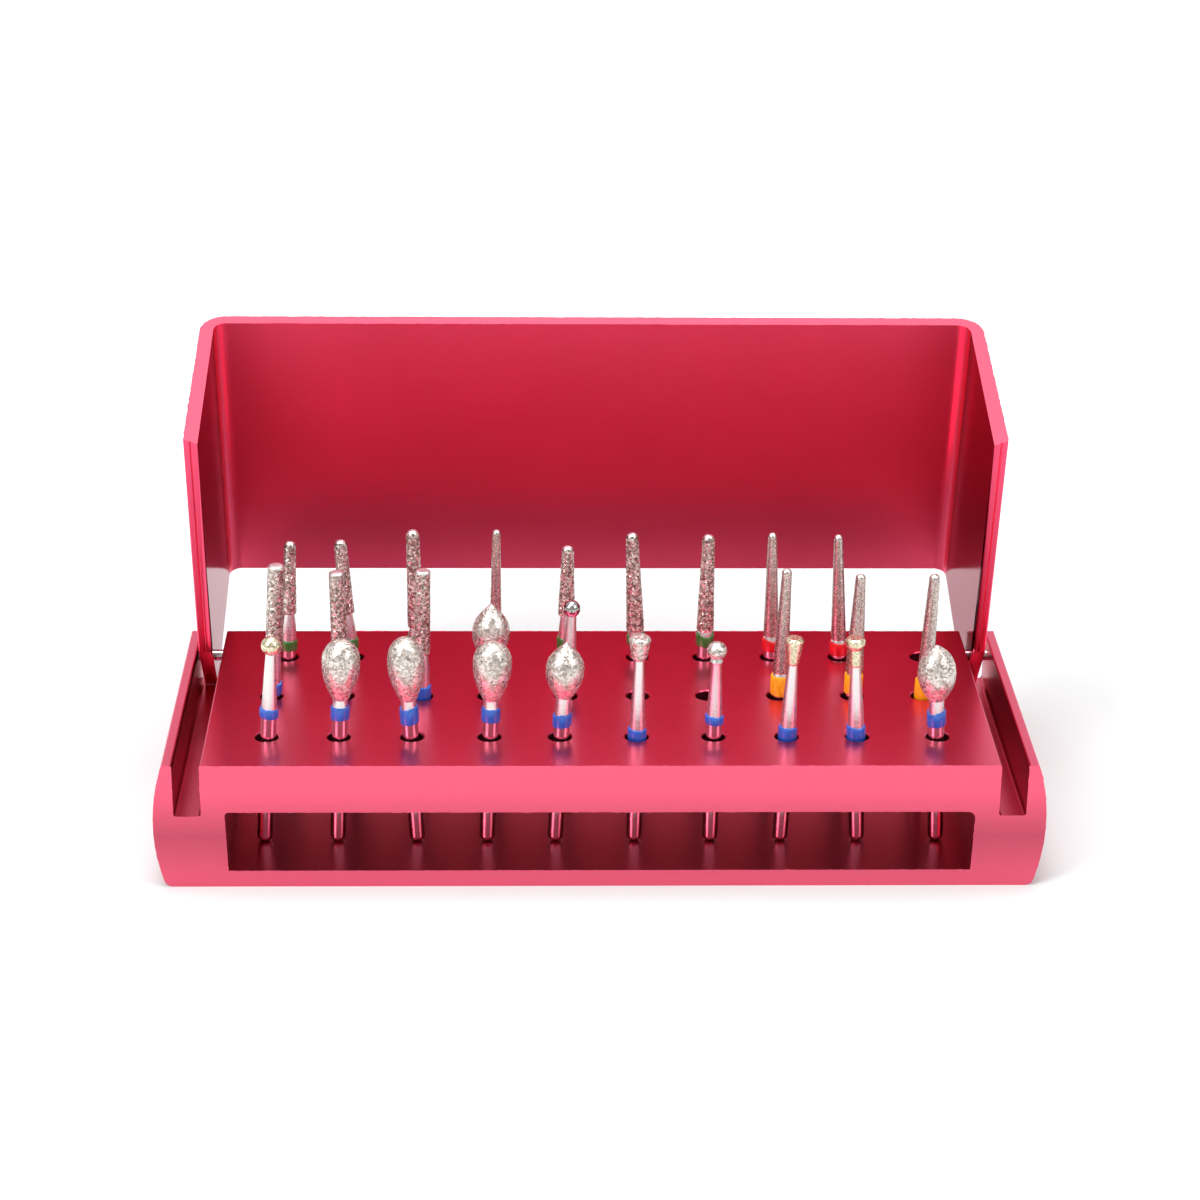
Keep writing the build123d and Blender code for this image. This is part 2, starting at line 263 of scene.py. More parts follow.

# The studio, in metres: the floor has painted shadow near the object and painted light far from it
FLOOR_HALF = 3.0
FLOOR_SHADE_SPAN = 0.5
FLOOR_PAINTED_SHADOW = (0.75, 0.77, 0.77)
AIM = (0, 0, 0.015)
Softbox = namedtuple("Softbox", "name place size share")
SOFTBOXES = (
    Softbox("left softbox", (-0.40, -0.30, 0.46), (0.26, 0.36), 1.2),
    Softbox("right softbox", (0.44, -0.26, 0.44), (0.24, 0.36), 0.6),
    Softbox("top softbox", (-0.03, 0.02, 0.60), (0.50, 0.34), 1.5),
)


# Settings that a user would change
class BlockSettings(bpy.types.PropertyGroup):
    edge_bevel: bpy.props.FloatProperty(
        name="Edge bevel", description="Width of the broken edges of the block and lid",
        default=0.00013, min=0.0, max=0.0003, unit="LENGTH", precision=5)
    burr: bpy.props.FloatProperty(
        name="Saw burr", description="How far the sawn edges wander",
        default=0.00009, min=0.0, max=0.0003, unit="LENGTH", precision=5)
    dye: bpy.props.FloatVectorProperty(
        name="Dye", description="Colour of the anodised surface",
        subtype="COLOR", size=3, min=0.0, max=1.0, default=(0.78, 0.083, 0.170))
    cut_dye: bpy.props.FloatVectorProperty(
        name="Cut dye", description="Colour of the sawn ends",
        subtype="COLOR", size=3, min=0.0, max=1.0, default=(0.86, 0.108, 0.195))
    roughness: bpy.props.FloatProperty(
        name="Roughness", description="How satin the anodised surface is",
        default=0.29, min=0.0, max=1.0, subtype="FACTOR")


class BurSettings(bpy.types.PropertyGroup):
    steel: bpy.props.FloatVectorProperty(
        name="Steel", description="Colour of the polished shanks",
        subtype="COLOR", size=3, min=0.0, max=1.0, default=(0.70, 0.68, 0.67))
    blue: bpy.props.FloatVectorProperty(
        name="Blue band", description="Paint of the medium burs",
        subtype="COLOR", size=3, min=0.0, max=1.0, default=(0.004, 0.105, 0.56))
    green: bpy.props.FloatVectorProperty(
        name="Green band", description="Paint of the coarse burs",
        subtype="COLOR", size=3, min=0.0, max=1.0, default=(0.028, 0.15, 0.022))
    red: bpy.props.FloatVectorProperty(
        name="Red band", description="Paint of the fine burs",
        subtype="COLOR", size=3, min=0.0, max=1.0, default=(0.70, 0.004, 0.008))
    yellow: bpy.props.FloatVectorProperty(
        name="Yellow band", description="Paint of the extra-fine burs",
        subtype="COLOR", size=3, min=0.0, max=1.0, default=(1.0, 0.43, 0.004))


class StageSettings(bpy.types.PropertyGroup):
    floor: bpy.props.FloatVectorProperty(
        name="Floor", description="Colour of the floor",
        subtype="COLOR", size=3, min=0.0, max=1.0, default=(0.80, 0.82, 0.82))
    sky: bpy.props.FloatProperty(
        name="Room light", description="Strength of the even light of the white room",
        default=0.96, min=0.0, max=5.0)
    key: bpy.props.FloatProperty(
        name="Softbox power", description="Power that the softboxes share out",
        default=2.3, min=0.0, max=100.0, subtype="POWER")


# Materials
def new_material(name):
    material = bpy.data.materials.new(name)
    material.use_nodes = True
    nodes = material.node_tree.nodes
    return material, nodes, material.node_tree.links, nodes["Principled BSDF"]


def object_pattern(nodes, links, scale, rotation=(0.0, 0.0, 0.0)):
    coordinates = nodes.new("ShaderNodeTexCoord")
    mapping = nodes.new("ShaderNodeMapping")
    mapping.inputs["Scale"].default_value = scale
    mapping.inputs["Rotation"].default_value = rotation
    links.new(coordinates.outputs["Object"], mapping.inputs["Vector"])
    return mapping.outputs["Vector"]


def noise_pattern(nodes, links, vector, detail=3.0, roughness=0.55):
    texture = nodes.new("ShaderNodeTexNoise")
    texture.inputs["Scale"].default_value = 1.0
    texture.inputs["Detail"].default_value = detail
    texture.inputs["Roughness"].default_value = roughness
    links.new(vector, texture.inputs["Vector"])
    return texture.outputs["Fac"]


def ramp(nodes, links, value, *stops):
    node = nodes.new("ShaderNodeValToRGB")
    elements = node.color_ramp.elements
    while len(elements) < len(stops):
        elements.new(0.5)
    for element, (position, colour) in zip(elements, stops):
        element.position = position
        element.color = (*colour, 1.0)
    links.new(value, node.inputs["Fac"])
    return node.outputs["Color"]


def map_range(nodes, links, value, low, high, source=(0.3, 0.7)):
    node = nodes.new("ShaderNodeMapRange")
    node.inputs["From Min"].default_value, node.inputs["From Max"].default_value = source
    node.inputs["To Min"].default_value = low
    node.inputs["To Max"].default_value = high
    links.new(value, node.inputs["Value"])
    return node.outputs["Result"]


def bump(nodes, links, shader, height, strength, distance, below=None):
    node = nodes.new("ShaderNodeBump")
    node.inputs["Strength"].default_value = strength
    node.inputs["Distance"].default_value = distance
    links.new(height, node.inputs["Height"])
    if below:
        links.new(below, node.inputs["Normal"])
    links.new(node.outputs["Normal"], shader.inputs["Normal"])
    return node.outputs["Normal"]


def shade(colour, factor):
    return tuple(min(1.0, c * factor) for c in colour)


def anodised_material(name, dye, roughness, along, lean=0.0, edge_tint=(1.0, 1.0, 1.0)):
    """Satin dyed oxide over drawn aluminium: die lines run along one axis, under a clear hard skin."""
    material, nodes, links, shader = new_material(name)
    shader.inputs["Metallic"].default_value = 1.0
    shader.inputs["Specular Tint"].default_value = (*edge_tint, 1.0)
    shader.inputs["Coat Weight"].default_value = 0.06
    shader.inputs["Coat Roughness"].default_value = 0.25
    shader.inputs["Coat IOR"].default_value = 1.6
    scale = [9000.0] * 3
    scale["xyz".index(along)] = 90.0
    lines = noise_pattern(nodes, links, object_pattern(nodes, links, scale, (-lean, 0.0, 0.0)), 2.0)
    cloud = noise_pattern(nodes, links, object_pattern(nodes, links, (60.0,) * 3), 4.0)
    links.new(ramp(nodes, links, cloud, (0.3, shade(dye, 0.92)), (0.7, dye)), shader.inputs["Base Color"])
    rough = map_range(nodes, links, lines, roughness - 0.01, roughness + 0.015)
    links.new(rough, shader.inputs["Roughness"])
    bump(nodes, links, shader, lines, 0.016, 0.00001)
    return material


def sawn_material(name, dye):
    """Sawn and dyed end face: matt, with faint marks across it, and painted shade that darkens it half-way
    up.
    """
    material, nodes, links, shader = new_material(name)
    shader.inputs["Metallic"].default_value = 0.55
    shader.inputs["Specular IOR Level"].default_value = 0.4
    marks = noise_pattern(nodes, links, object_pattern(nodes, links, (500.0, 500.0, 9000.0)), 3.0)
    grain = noise_pattern(nodes, links, object_pattern(nodes, links, (7000.0,) * 3), 3.0)
    parts = nodes.new("ShaderNodeSeparateXYZ")
    links.new(object_pattern(nodes, links, (1.0,) * 3), parts.inputs["Vector"])
    height = map_range(nodes, links, parts.outputs["Z"], 0.0, 1.0, (0.0, BLOCK_HEIGHT * MM))
    # Painted shade: the end face is darkest a little under half the block's height, a little darker at the
    # bottom, and full dye from three quarters up
    tones = ((0.05, shade(dye, 0.90)), (0.42, shade(dye, 0.60)), (0.78, dye))
    links.new(ramp(nodes, links, height, *tones), shader.inputs["Base Color"])
    links.new(map_range(nodes, links, marks, 0.42, 0.52), shader.inputs["Roughness"])
    first = bump(nodes, links, shader, marks, 0.10, 0.00001)
    bump(nodes, links, shader, grain, 0.12, 0.00001, first)
    return material


def steel_material(name, colour, roughness=0.10):
    """Polished steel with fine turning rings, which follow the piece through its UV map."""
    material, nodes, links, shader = new_material(name)
    shader.inputs["Metallic"].default_value = 1.0
    shader.inputs["Base Color"].default_value = (*colour, 1.0)
    uv = nodes.new("ShaderNodeUVMap")
    uv.uv_map = "turned"
    mapping = nodes.new("ShaderNodeMapping")
    mapping.inputs["Scale"].default_value = (0.3, 14.0, 1.0)
    links.new(uv.outputs["UV"], mapping.inputs["Vector"])
    rings = noise_pattern(nodes, links, mapping.outputs["Vector"], 3.0)
    rough = map_range(nodes, links, rings, roughness * 0.8, roughness * 1.5)
    links.new(rough, shader.inputs["Roughness"])
    bump(nodes, links, shader, rings, 0.06, 0.00001)
    return material


def pin_material(name, colour):
    """Drawn pin steel with fine scratches round it."""
    material, nodes, links, shader = new_material(name)
    shader.inputs["Metallic"].default_value = 1.0
    shader.inputs["Base Color"].default_value = (*colour, 1.0)
    scratches = noise_pattern(nodes, links, object_pattern(nodes, links, (9000.0, 1500.0, 1500.0)), 3.0)
    links.new(map_range(nodes, links, scratches, 0.12, 0.24), shader.inputs["Roughness"])
    bump(nodes, links, shader, scratches, 0.08, 0.00001)
    return material


def paint_material(name, colour):
    """Brushed-on enamel: glossy, thin in places."""
    material, nodes, links, shader = new_material(name)
    shader.inputs["Specular IOR Level"].default_value = 0.5
    shader.inputs["Coat Weight"].default_value = 0.6
    shader.inputs["Coat Roughness"].default_value = 0.08
    streaks = noise_pattern(nodes, links, object_pattern(nodes, links, (2600.0, 2600.0, 1200.0)), 3.0)
    tones = ((0.3, shade(colour, 0.65)), (0.62, colour), (0.8, shade(colour, 1.35)))
    links.new(ramp(nodes, links, streaks, *tones), shader.inputs["Base Color"])
    links.new(map_range(nodes, links, streaks, 0.28, 0.42), shader.inputs["Roughness"])
    bump(nodes, links, shader, streaks, 0.25, 0.00004)
    return material


def grit_material(name, grit):
    """Diamond crystals in plating: every crystal has its own tone and gloss."""
    material, nodes, links, shader = new_material(name)
    cell = grit.cell * MM
    shader.inputs["Metallic"].default_value = grit.metallic
    shader.inputs["Specular IOR Level"].default_value = 0.7
    crystals = nodes.new("ShaderNodeTexVoronoi")
    crystals.inputs["Scale"].default_value = 1.0
    links.new(object_pattern(nodes, links, (1.0 / cell,) * 3), crystals.inputs["Vector"])
    tone = nodes.new("ShaderNodeSeparateColor")
    links.new(crystals.outputs["Color"], tone.inputs["Color"])
    tones = ((0.05, grit.dark), (0.45, grit.middle), (0.95, grit.light))
    links.new(ramp(nodes, links, tone.outputs["Red"], *tones), shader.inputs["Base Color"])
    gloss = map_range(nodes, links, tone.outputs["Green"], grit.roughness * 0.6, grit.roughness * 1.4)
    links.new(gloss, shader.inputs["Roughness"])
    bump(nodes, links, shader, crystals.outputs["Distance"], 0.35, cell * grit.relief)
    return material


def floor_material(name, colour):
    """Matt paper with painted shadow near the object and painted light far from it."""
    material, nodes, links, shader = new_material(name)
    shader.inputs["Roughness"].default_value = 0.55
    shader.inputs["Specular IOR Level"].default_value = 0.2
    distance = nodes.new("ShaderNodeVectorMath")
    distance.operation = "LENGTH"
    links.new(object_pattern(nodes, links, (1.0 / FLOOR_SHADE_SPAN,) * 3), distance.inputs[0])
    near = tuple(c * factor for c, factor in zip(colour, FLOOR_PAINTED_SHADOW))
    # Painted shadow: a darker ring round the object; painted light: a tenth lighter far out
    tones = ((0.13, near), (0.26, colour), (1.0, shade(colour, 1.1)))
    links.new(ramp(nodes, links, distance.outputs["Value"], *tones), shader.inputs["Base Color"])
    return material


# Meshes
def finished_piece(name, bm, materials, body, node):
    """Makes the finished piece that takes a CAD node's place."""
    mesh = bpy.data.meshes.new(name)
    bm.to_mesh(mesh)
    bm.free()
    piece = bpy.data.objects.new(name, mesh)
    for material in materials:
        mesh.materials.append(material)
    bpy.context.scene.collection.objects.link(piece)
    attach(piece, body)
    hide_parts(node)
    return piece


def wander(point, amount):
    return noise.noise_vector(point * BURR_FREQUENCY) * amount


def merged_copy(node):
    """The node's loose triangles joined up, with its flat faces whole again."""
    bm = bmesh.new()
    bm.from_mesh(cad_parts[node].data)
    bmesh.ops.remove_doubles(bm, verts=bm.verts, dist=MERGE_DISTANCE)
    bmesh.ops.dissolve_limit(bm, angle_limit=radians(COPLANAR_ANGLE), verts=bm.verts, edges=bm.edges,
                             use_dissolve_boundaries=False)
    bm.normal_update()
    return bm


def break_edges(bm, settings, end_planes, end_normal):
    """Breaks the sharp edges, leaves those of the sawn ends ragged, and shades large flats flat."""
    def from_end(point):
        return min(abs((point - plane).dot(end_normal)) for plane in end_planes)

    def is_rim(edge):
        return len(edge.link_faces) == 2 and edge.calc_face_angle(0.0) > radians(RIM_ANGLE)

    for step in RIM_STEPS:
        long_rims = [edge for edge in bm.edges if is_rim(edge) and edge.calc_length() > step
                     and max(from_end(vert.co) for vert in edge.verts) < END_TOLERANCE]
        bmesh.ops.subdivide_edges(bm, edges=long_rims, cuts=RIM_CUTS, use_grid_fill=False)
    rims = [edge for edge in bm.edges if is_rim(edge)]
    bmesh.ops.bevel(bm, geom=rims, offset=settings.edge_bevel, offset_type="OFFSET", segments=2,
                    profile=0.5, affect="EDGES", material=-1, clamp_overlap=True)
    bm.normal_update()
    for vert in bm.verts:
        depth = from_end(vert.co)
        shift = wander(vert.co, settings.burr)
        along_normal = end_normal * shift.dot(end_normal)
        if depth < MERGE_DISTANCE:
            vert.co += shift - along_normal
            vert.co.z = max(vert.co.z, 0.0)
        elif 0.8 * settings.edge_bevel < depth < 1.2 * settings.edge_bevel:
            vert.co += along_normal
    square_axes = (Vector((1, 0, 0)), end_normal, end_normal.cross(Vector((1, 0, 0))))
    for face in bm.faces:
        squareness = max(abs(face.normal.dot(axis)) for axis in square_axes)
        face.smooth = squareness < FLAT or face.calc_area() < LARGE_FLAT
        face.material_index = SAWN_SLOT if abs(face.normal.dot(end_normal)) > 0.97 else 0


def even_shading(piece):
    """Keeps reflections straight beside the narrow broken edges."""
    piece.data.set_sharp_from_angle(angle=radians(EXTRUSION_SHARP_ANGLE))
    weighted = piece.modifiers.new("Even shading", "WEIGHTED_NORMAL")
    weighted.keep_sharp = True


def lid_turn(angle):
    return Euler((angle, 0.0, 0.0)).to_matrix()


def to_lid(point):
    """A point of the open lid in the lid's own axes, in millimetres from the pin."""
    return lid_turn(-LID_LEAN) @ (point / MM - LID_PIN)


def from_lid(point):
    return (lid_turn(LID_LEAN) @ point + LID_PIN) * MM


def cut_flange_ends(bm):
    """Each flange's lower end is sawn off obliquely, from its free edge down to the stop heel."""
    corner = Vector((0.0, -LID_FLANGE_FRONT, FLANGE_CUT_HEIGHT))
    outward = (LID_HEEL - corner).cross(Vector((1, 0, 0))).normalized()
    if outward.y > 0:
        outward.negate()
    cut = bmesh.ops.bisect_plane(bm, geom=bm.verts[:] + bm.edges[:] + bm.faces[:], dist=CUT_TOLERANCE,
                                 plane_co=from_lid(corner), plane_no=lid_turn(LID_LEAN) @ outward,
                                 clear_outer=True)
    rim = [item for item in cut["geom_cut"] if isinstance(item, bmesh.types.BMEdge)]
    bmesh.ops.holes_fill(bm, edges=rim, sides=0)
    bm.normal_update()


def round_flange_edges(bm):
    """The free edges get a round along the inside."""
    inner_x = LID_HALF_WIDTH - LID_WALL
    small_round = []
    for vert in bm.verts:
        at = to_lid(vert.co)
        inward, forward = abs(at.x) - inner_x, at.y + LID_FLANGE_FRONT
        if max(abs(inward), abs(forward)) < LID_EDGE_ROUND + TOUCH:
            corner_x = inner_x if at.x > 0 else -inner_x
            vert.co = from_lid(Vector((corner_x, -LID_FLANGE_FRONT, at.z)))
            small_round.append(vert)
    bmesh.ops.remove_doubles(bm, verts=small_round, dist=MERGE_DISTANCE)
    bm.normal_update()

    def is_corner(vert):
        at = to_lid(vert.co)
        return abs(abs(at.x) - inner_x) < TOUCH and abs(at.y + LID_FLANGE_FRONT) < TOUCH

    edges = [edge for edge in bm.edges if all(is_corner(vert) for vert in edge.verts)
             and len(edge.link_faces) == 2]
    bmesh.ops.bevel(bm, geom=edges, offset=FLANGE_EDGE_ROUND * MM, offset_type="OFFSET",
                    segments=FLANGE_ROUND_STEPS, profile=0.5, affect="EDGES", material=-1)
    bm.normal_update()


def add_die_lines(bm):
    """Each free edge has a shallow groove along it, which the die left."""
    line_x = LID_HALF_WIDTH - LID_WALL + DIE_LINE_PLACE

    def is_front(point):
        return to_lid(point).y < -LID_FLANGE_FRONT + NEAR_FACE

    for side in (-1.0, 1.0):
        for offset in (-DIE_LINE_WIDTH, 0.0, DIE_LINE_WIDTH):
            front = [face for face in bm.faces if is_front(face.calc_center_median())]
            edges = list({edge for face in front for edge in face.edges})
            verts = list({vert for face in front for vert in face.verts})
            bmesh.ops.bisect_plane(bm, geom=front + edges + verts, dist=CUT_TOLERANCE,
                                   plane_co=from_lid(Vector((side * (line_x + offset), 0, 0))),
                                   plane_no=Vector((1, 0, 0)))
    for vert in bm.verts:
        at = to_lid(vert.co)
        if abs(abs(at.x) - line_x) < TOUCH and is_front(vert.co):
            vert.co = from_lid(at + Vector((0, DIE_LINE_DEPTH, 0)))
    bm.normal_update()


def is_flange_inside(face):
    at = to_lid(face.calc_center_median())
    return abs(face.normal.x) > FLAT and abs(abs(at.x) - LID_HALF_WIDTH + LID_WALL) < NEAR_FACE


def is_hole_wall(face):
    """Drilled walls are the upright faces between the deck and the window, round each hole's axis; they
    take a dark copy of the dye as painted shade.
    """
    centre = face.calc_center_median() / MM
    if abs(face.normal.z) > 0.5 or not WINDOW_ROOF < centre.z < BLOCK_HEIGHT:
        return False
    return any((centre.xy - Vector((hole_x(row, column), row_y))).length < HOLE_R + 0.05
               for row, row_y in ROWS.items() for column in range(1, COLUMN_COUNT + 1))


def is_cavity(face):
    """The window's and the slots' faces, which take a darker copy of the dye as painted shade."""
    margin = 0.1
    centre = face.calc_center_median() / MM
    side = abs(centre.x)
    if abs(face.normal.y) > 0.5 or not WINDOW_FLOOR - margin < centre.z < BLOCK_HEIGHT - 0.3:
        return False
    if side < SLOT_INNER and centre.z < WINDOW_ROOF + margin:
        return True
    return SLOT_INNER - margin < side < SLOT_OUTER + margin and centre.z > SLOT_FLOOR - margin


def spin_outline(bm, outline, material_index):
    """Turns an outline about the upright axis."""
    verts = [bm.verts.new((r, 0.0, z)) for r, z in outline]
    edges = [bm.edges.new(pair) for pair in zip(verts, verts[1:])]
    start_faces = set(bm.faces)
    bmesh.ops.spin(bm, geom=verts + edges, cent=(0, 0, 0), axis=(0, 0, 1), angle=2 * pi,
                   steps=TURNED_SEGMENTS, use_merge=True)
    new_faces = [face for face in bm.faces if face not in start_faces]
    turned = {vert for face in new_faces for vert in face.verts}
    turned |= {vert for vert in verts if vert.is_valid}
    bmesh.ops.remove_doubles(bm, verts=list(turned), dist=1e-5)
    faces = [face for face in bm.faces if face not in start_faces]
    bmesh.ops.recalc_face_normals(bm, faces=faces)
    for face in faces:
        face.smooth = True
        face.material_index = material_index
    return faces


def grit_shell(outline, grit, seed):
    """Turns a head's outline, cuts it into even cells and raises a crystal on each."""
    outline = [(r + grit.coat if r else r, z) for r, z in outline]
    bm = bmesh.new()
    spin_outline(bm, outline, HEAD_SLOT)
    mesh = bpy.data.meshes.new("head")
    bm.to_mesh(mesh)
    bm.free()
    blank = bpy.data.objects.new("head", mesh)
    bpy.context.scene.collection.objects.link(blank)
    cells = blank.modifiers.new("Cells", "REMESH")
    cells.mode = "VOXEL"
    cells.voxel_size = grit.pitch
    evaluated = blank.evaluated_get(bpy.context.evaluated_depsgraph_get())
    shell = bpy.data.meshes.new_from_object(evaluated)
    bpy.data.objects.remove(blank)
    bpy.data.meshes.remove(mesh)

    chance = Random(seed)
    bm = bmesh.new()
    bm.from_mesh(shell)
    bpy.data.meshes.remove(shell)
    bm.normal_update()
    loose = LOOSE_SHARE * grit.pitch
    top = max(vert.co.z for vert in bm.verts)

    def worn(vert):
        return min(1.0, 0.1 + (top - vert.co.z) / TIP_WEAR)

    for vert in bm.verts:
        sideways = Vector([chance.uniform(-1, 1) for _ in range(3)]) * loose
        sideways -= vert.normal * sideways.dot(vert.normal)
        vert.co += sideways - vert.normal * (grit.height * worn(vert) * chance.uniform(*CRYSTAL_PITS))
    bm.normal_update()
    tips = bmesh.ops.poke(bm, faces=bm.faces[:], offset=0.0, center_mode="MEAN",
                          use_relative_offset=False)
    bm.normal_update()
    for vert in tips["verts"]:
        vert.co += vert.normal * (grit.height * worn(vert) * chance.uniform(*CRYSTAL_PEAKS))
    for face in bm.faces:
        face.smooth = False
        is_bare = top - face.calc_center_median().z < grit.bare
        face.material_index = GROUND_SLOT if is_bare else HEAD_SLOT
    return bm


def add_turned_map(bm):
    """Marks every point of a turned piece with its angle and height, for scratches that run round it."""
    layer = bm.loops.layers.uv.new("turned")
    for face in bm.faces:
        for loop in face.loops:
            x, y, z = loop.vert.co
            loop[layer].uv = (Vector((x, y)).angle_signed(Vector((1, 0)), 0.0), z)


def band_shape(bm, bur, faces):
    """The brush left the band's edges uneven: they tilt and wave round the shank."""
    chance = Random(f"{bur.row}{bur.column}")
    tilt, turn = chance.uniform(*BAND_TILT), chance.uniform(0, 2 * pi)
    middle = (bur.band_low + bur.band_high) / 2
    for vert in {vert for face in faces for vert in face.verts}:
        angle = vert.co.xy.angle_signed(Vector((1, 0)))
        wave = tilt * cos(angle - turn) + BAND_WAVE * sin(3 * angle + turn)
        vert.co.z += min(wave, 0.0) if vert.co.z > middle else wave * BAND_LOWER_SHARE


def hole_x(row, column):
    return (column - (COLUMN_COUNT + 1) / 2) * COLUMN_PITCH + HOLE_DRIFT[row][column - 1]


def bur_place(bur):
    """A bur leans about the middle of its hole, and its round foot stands on the window's floor."""
    lean = radians(bur.lean)
    foot_drop = (SHANK_R - FOOT_ROUND) * abs(sin(lean)) + FOOT_ROUND * (1 - cos(lean))
    foot_z = WINDOW_FLOOR + FOOT_GAP + foot_drop
    below_deck_middle = (DECK_MIDDLE - foot_z) / cos(lean)
    tilt = Euler((0.0, lean, 0.0)).to_matrix().to_4x4()
    stand = Matrix.Translation((hole_x(bur.row, bur.column), ROWS[bur.row], DECK_MIDDLE))
    return Matrix.Scale(MM, 4) @ stand @ tilt @ Matrix.Translation((0.0, 0.0, -below_deck_middle))


def bur_piece(bur, materials):
    """A shank with its foot, a neck, a painted band and a head, in one piece."""
    head_form, *head_sizes = bur.head
    neck, head = head_form(bur.length, *head_sizes)
    low, high = bur.band_low, bur.band_high
    middle = (low + high) / 2
    foot = [(r + SHANK_R - FOOT_ROUND, z) for r, z in arc(FOOT_ROUND, FOOT_ROUND, -pi / 2, 0.0, 6)]
    shank = [(0.0, 0.0)] + foot + [(SHANK_R, middle), (0.0, middle)]
    neck_side = [(r, max(z, high)) for r, z in neck]
    neck = [(0.0, middle), (SHANK_R, middle)] + neck_side + [(0.0, neck[-1][1])]
    under_r, edge_r = SHANK_R - 0.05, BAND_R - 0.04
    band = [(under_r, low), (edge_r, low + BAND_EDGE * 0.5), (BAND_R, low + 2 * BAND_EDGE),
            (BAND_R, high - 2 * BAND_EDGE), (edge_r, high - BAND_EDGE * 0.5), (under_r, high),
            (under_r, low)]
    bm = bmesh.new()
    spin_outline(bm, shank, STEEL_SLOT)
    spin_outline(bm, neck, GROUND_SLOT)
    band_shape(bm, bur, spin_outline(bm, band, BAND_SLOT))
    if bur.grit in GRITS:
        shell = grit_shell(head, GRITS[bur.grit], f"{bur.row}{bur.column}")
        shell_mesh = bpy.data.meshes.new("shell")
        shell.to_mesh(shell_mesh)
        shell.free()
        bm.from_mesh(shell_mesh)
        bpy.data.meshes.remove(shell_mesh)
    else:
        spin_outline(bm, head, HEAD_SLOT)
    add_turned_map(bm)
    bmesh.ops.transform(bm, matrix=bur_place(bur), verts=bm.verts)
    name = f"bur_{bur.row}_{bur.column:02d}"
    piece = finished_piece(f"{name}_finished", bm, materials, BASE, name)
    piece.data.set_sharp_from_angle(angle=radians(BUR_SHARP_ANGLE))


# Operators
class DressBlock(bpy.types.Operator):
    """Finish the extruded block and its hinge pins"""
    bl_idname = "bur_block.dress_block"
    bl_label = "Dress block"

    def execute(self, context):
        settings = context.scene.bur_block
        dye, roughness = settings.dye, settings.roughness
        materials = [anodised_material("red anodised block", dye, roughness, "y"),
                     sawn_material("sawn block ends with painted shade", settings.cut_dye),
                     # Painted shade: the drilled hole walls are dyed a quarter as bright
                     anodised_material("drilled hole walls with painted shade", shade(dye, 0.25), 0.5, "z"),
                     # Painted shade: the window and slots are dyed four fifths as bright
                     anodised_material("slots and window with painted shade", shade(dye, 0.80), roughness, "y")]
        half = BLOCK_DEPTH / 2 * MM
        planes = (Vector((0, -half, 0)), Vector((0, half, 0)))
        bm = merged_copy("base_block")
        break_edges(bm, settings, planes, Vector((0, 1, 0)))
        for face in bm.faces:
            if is_hole_wall(face):
                face.material_index = SHADED_HOLE_SLOT
            elif is_cavity(face):
                face.material_index = SHADED_CAVITY_SLOT
        block = finished_piece("base_block_finished", bm, materials, BASE, "base_block")
        even_shading(block)
        steel = pin_material("hinge pin steel", context.scene.burs_finish.steel)
        for side in ("left", "right"):
            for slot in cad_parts[f"hinge_pin_{side}"].material_slots:
                slot.material = steel
        return {"FINISHED"}


class DressLid(bpy.types.Operator):
    """Finish the U-shaped lid"""
    bl_idname = "bur_block.dress_lid"
    bl_label = "Dress lid"

    def execute(self, context):
        settings = context.scene.bur_block
        dye, roughness = settings.dye, settings.roughness
        # Painted light: the lid's dye is a tenth lighter than the block's
        outside = anodised_material("red anodised lid with painted light", shade(dye, 1.1), roughness + 0.06, "z", LID_LEAN)
        # Painted shade: the lid's sawn ends are a darker copy of the cut dye
        sawn = sawn_material("sawn lid ends with painted shade", shade(settings.cut_dye, 0.78))
        # Painted shade: the flange's inside is a darker copy of the dye, with a dimmed edge tint
        inside = anodised_material("flange inside with painted shade", shade(dye, 0.72), roughness * 0.5, "z", LID_LEAN,
                                   FLANGE_SHADE_TINT)
        materials = [outside, sawn, inside]
        along = Vector((0, -sin(LID_LEAN), cos(LID_LEAN)))
        ends = [vert.co.dot(along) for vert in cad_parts["lid"].data.vertices]
        planes = (along * max(ends), along * min(ends))
        bm = merged_copy("lid")
        cut_flange_ends(bm)
        round_flange_edges(bm)
        add_die_lines(bm)
        break_edges(bm, settings, planes, along)
        for face in bm.faces:
            if is_flange_inside(face):
                face.material_index = FLANGE_SLOT
                face.smooth = False
        even_shading(finished_piece("lid_finished", bm, materials, LID, "lid"))
        return {"FINISHED"}


class AddBurs(bpy.types.Operator):
    """Turn the burs, plate their heads and stand them in their holes"""
    bl_idname = "bur_block.add_burs"
    bl_label = "Add burs"

    def execute(self, context):
        settings = context.scene.burs_finish
        steel = steel_material("polished shank steel", settings.steel, 0.14)
        # Painted light: the necks and bare tips are a lighter copy of the shank steel
        ground = steel_material("ground neck steel with painted light", shade(settings.steel, 1.12), 0.30)
        bands = {colour: paint_material(f"{colour} band paint", getattr(settings, colour))
                 for colour in ("blue", "green", "red", "yellow")}
        heads = {name: grit_material(GRIT_LABELS[name], grit) for name, grit in GRITS.items()}
        heads["polished"] = steel_material("polished head steel", shade(settings.steel, 0.7), 0.06)
        for bur in BURS:
            bur_piece(bur, [steel, bands[bur.band], heads[bur.grit], ground])
        return {"FINISHED"}


def add_softbox(box, key):
    data = bpy.data.lights.new(box.name, "AREA")
    data.shape = "RECTANGLE"
    data.size, data.size_y = box.size
    data.energy = key * box.share
    lamp = bpy.data.objects.new(box.name, data)
    lamp.location = box.place
    lamp.rotation_euler = (Vector(AIM) - Vector(box.place)).to_track_quat("-Z", "Y").to_euler()
    bpy.context.scene.collection.objects.link(lamp)


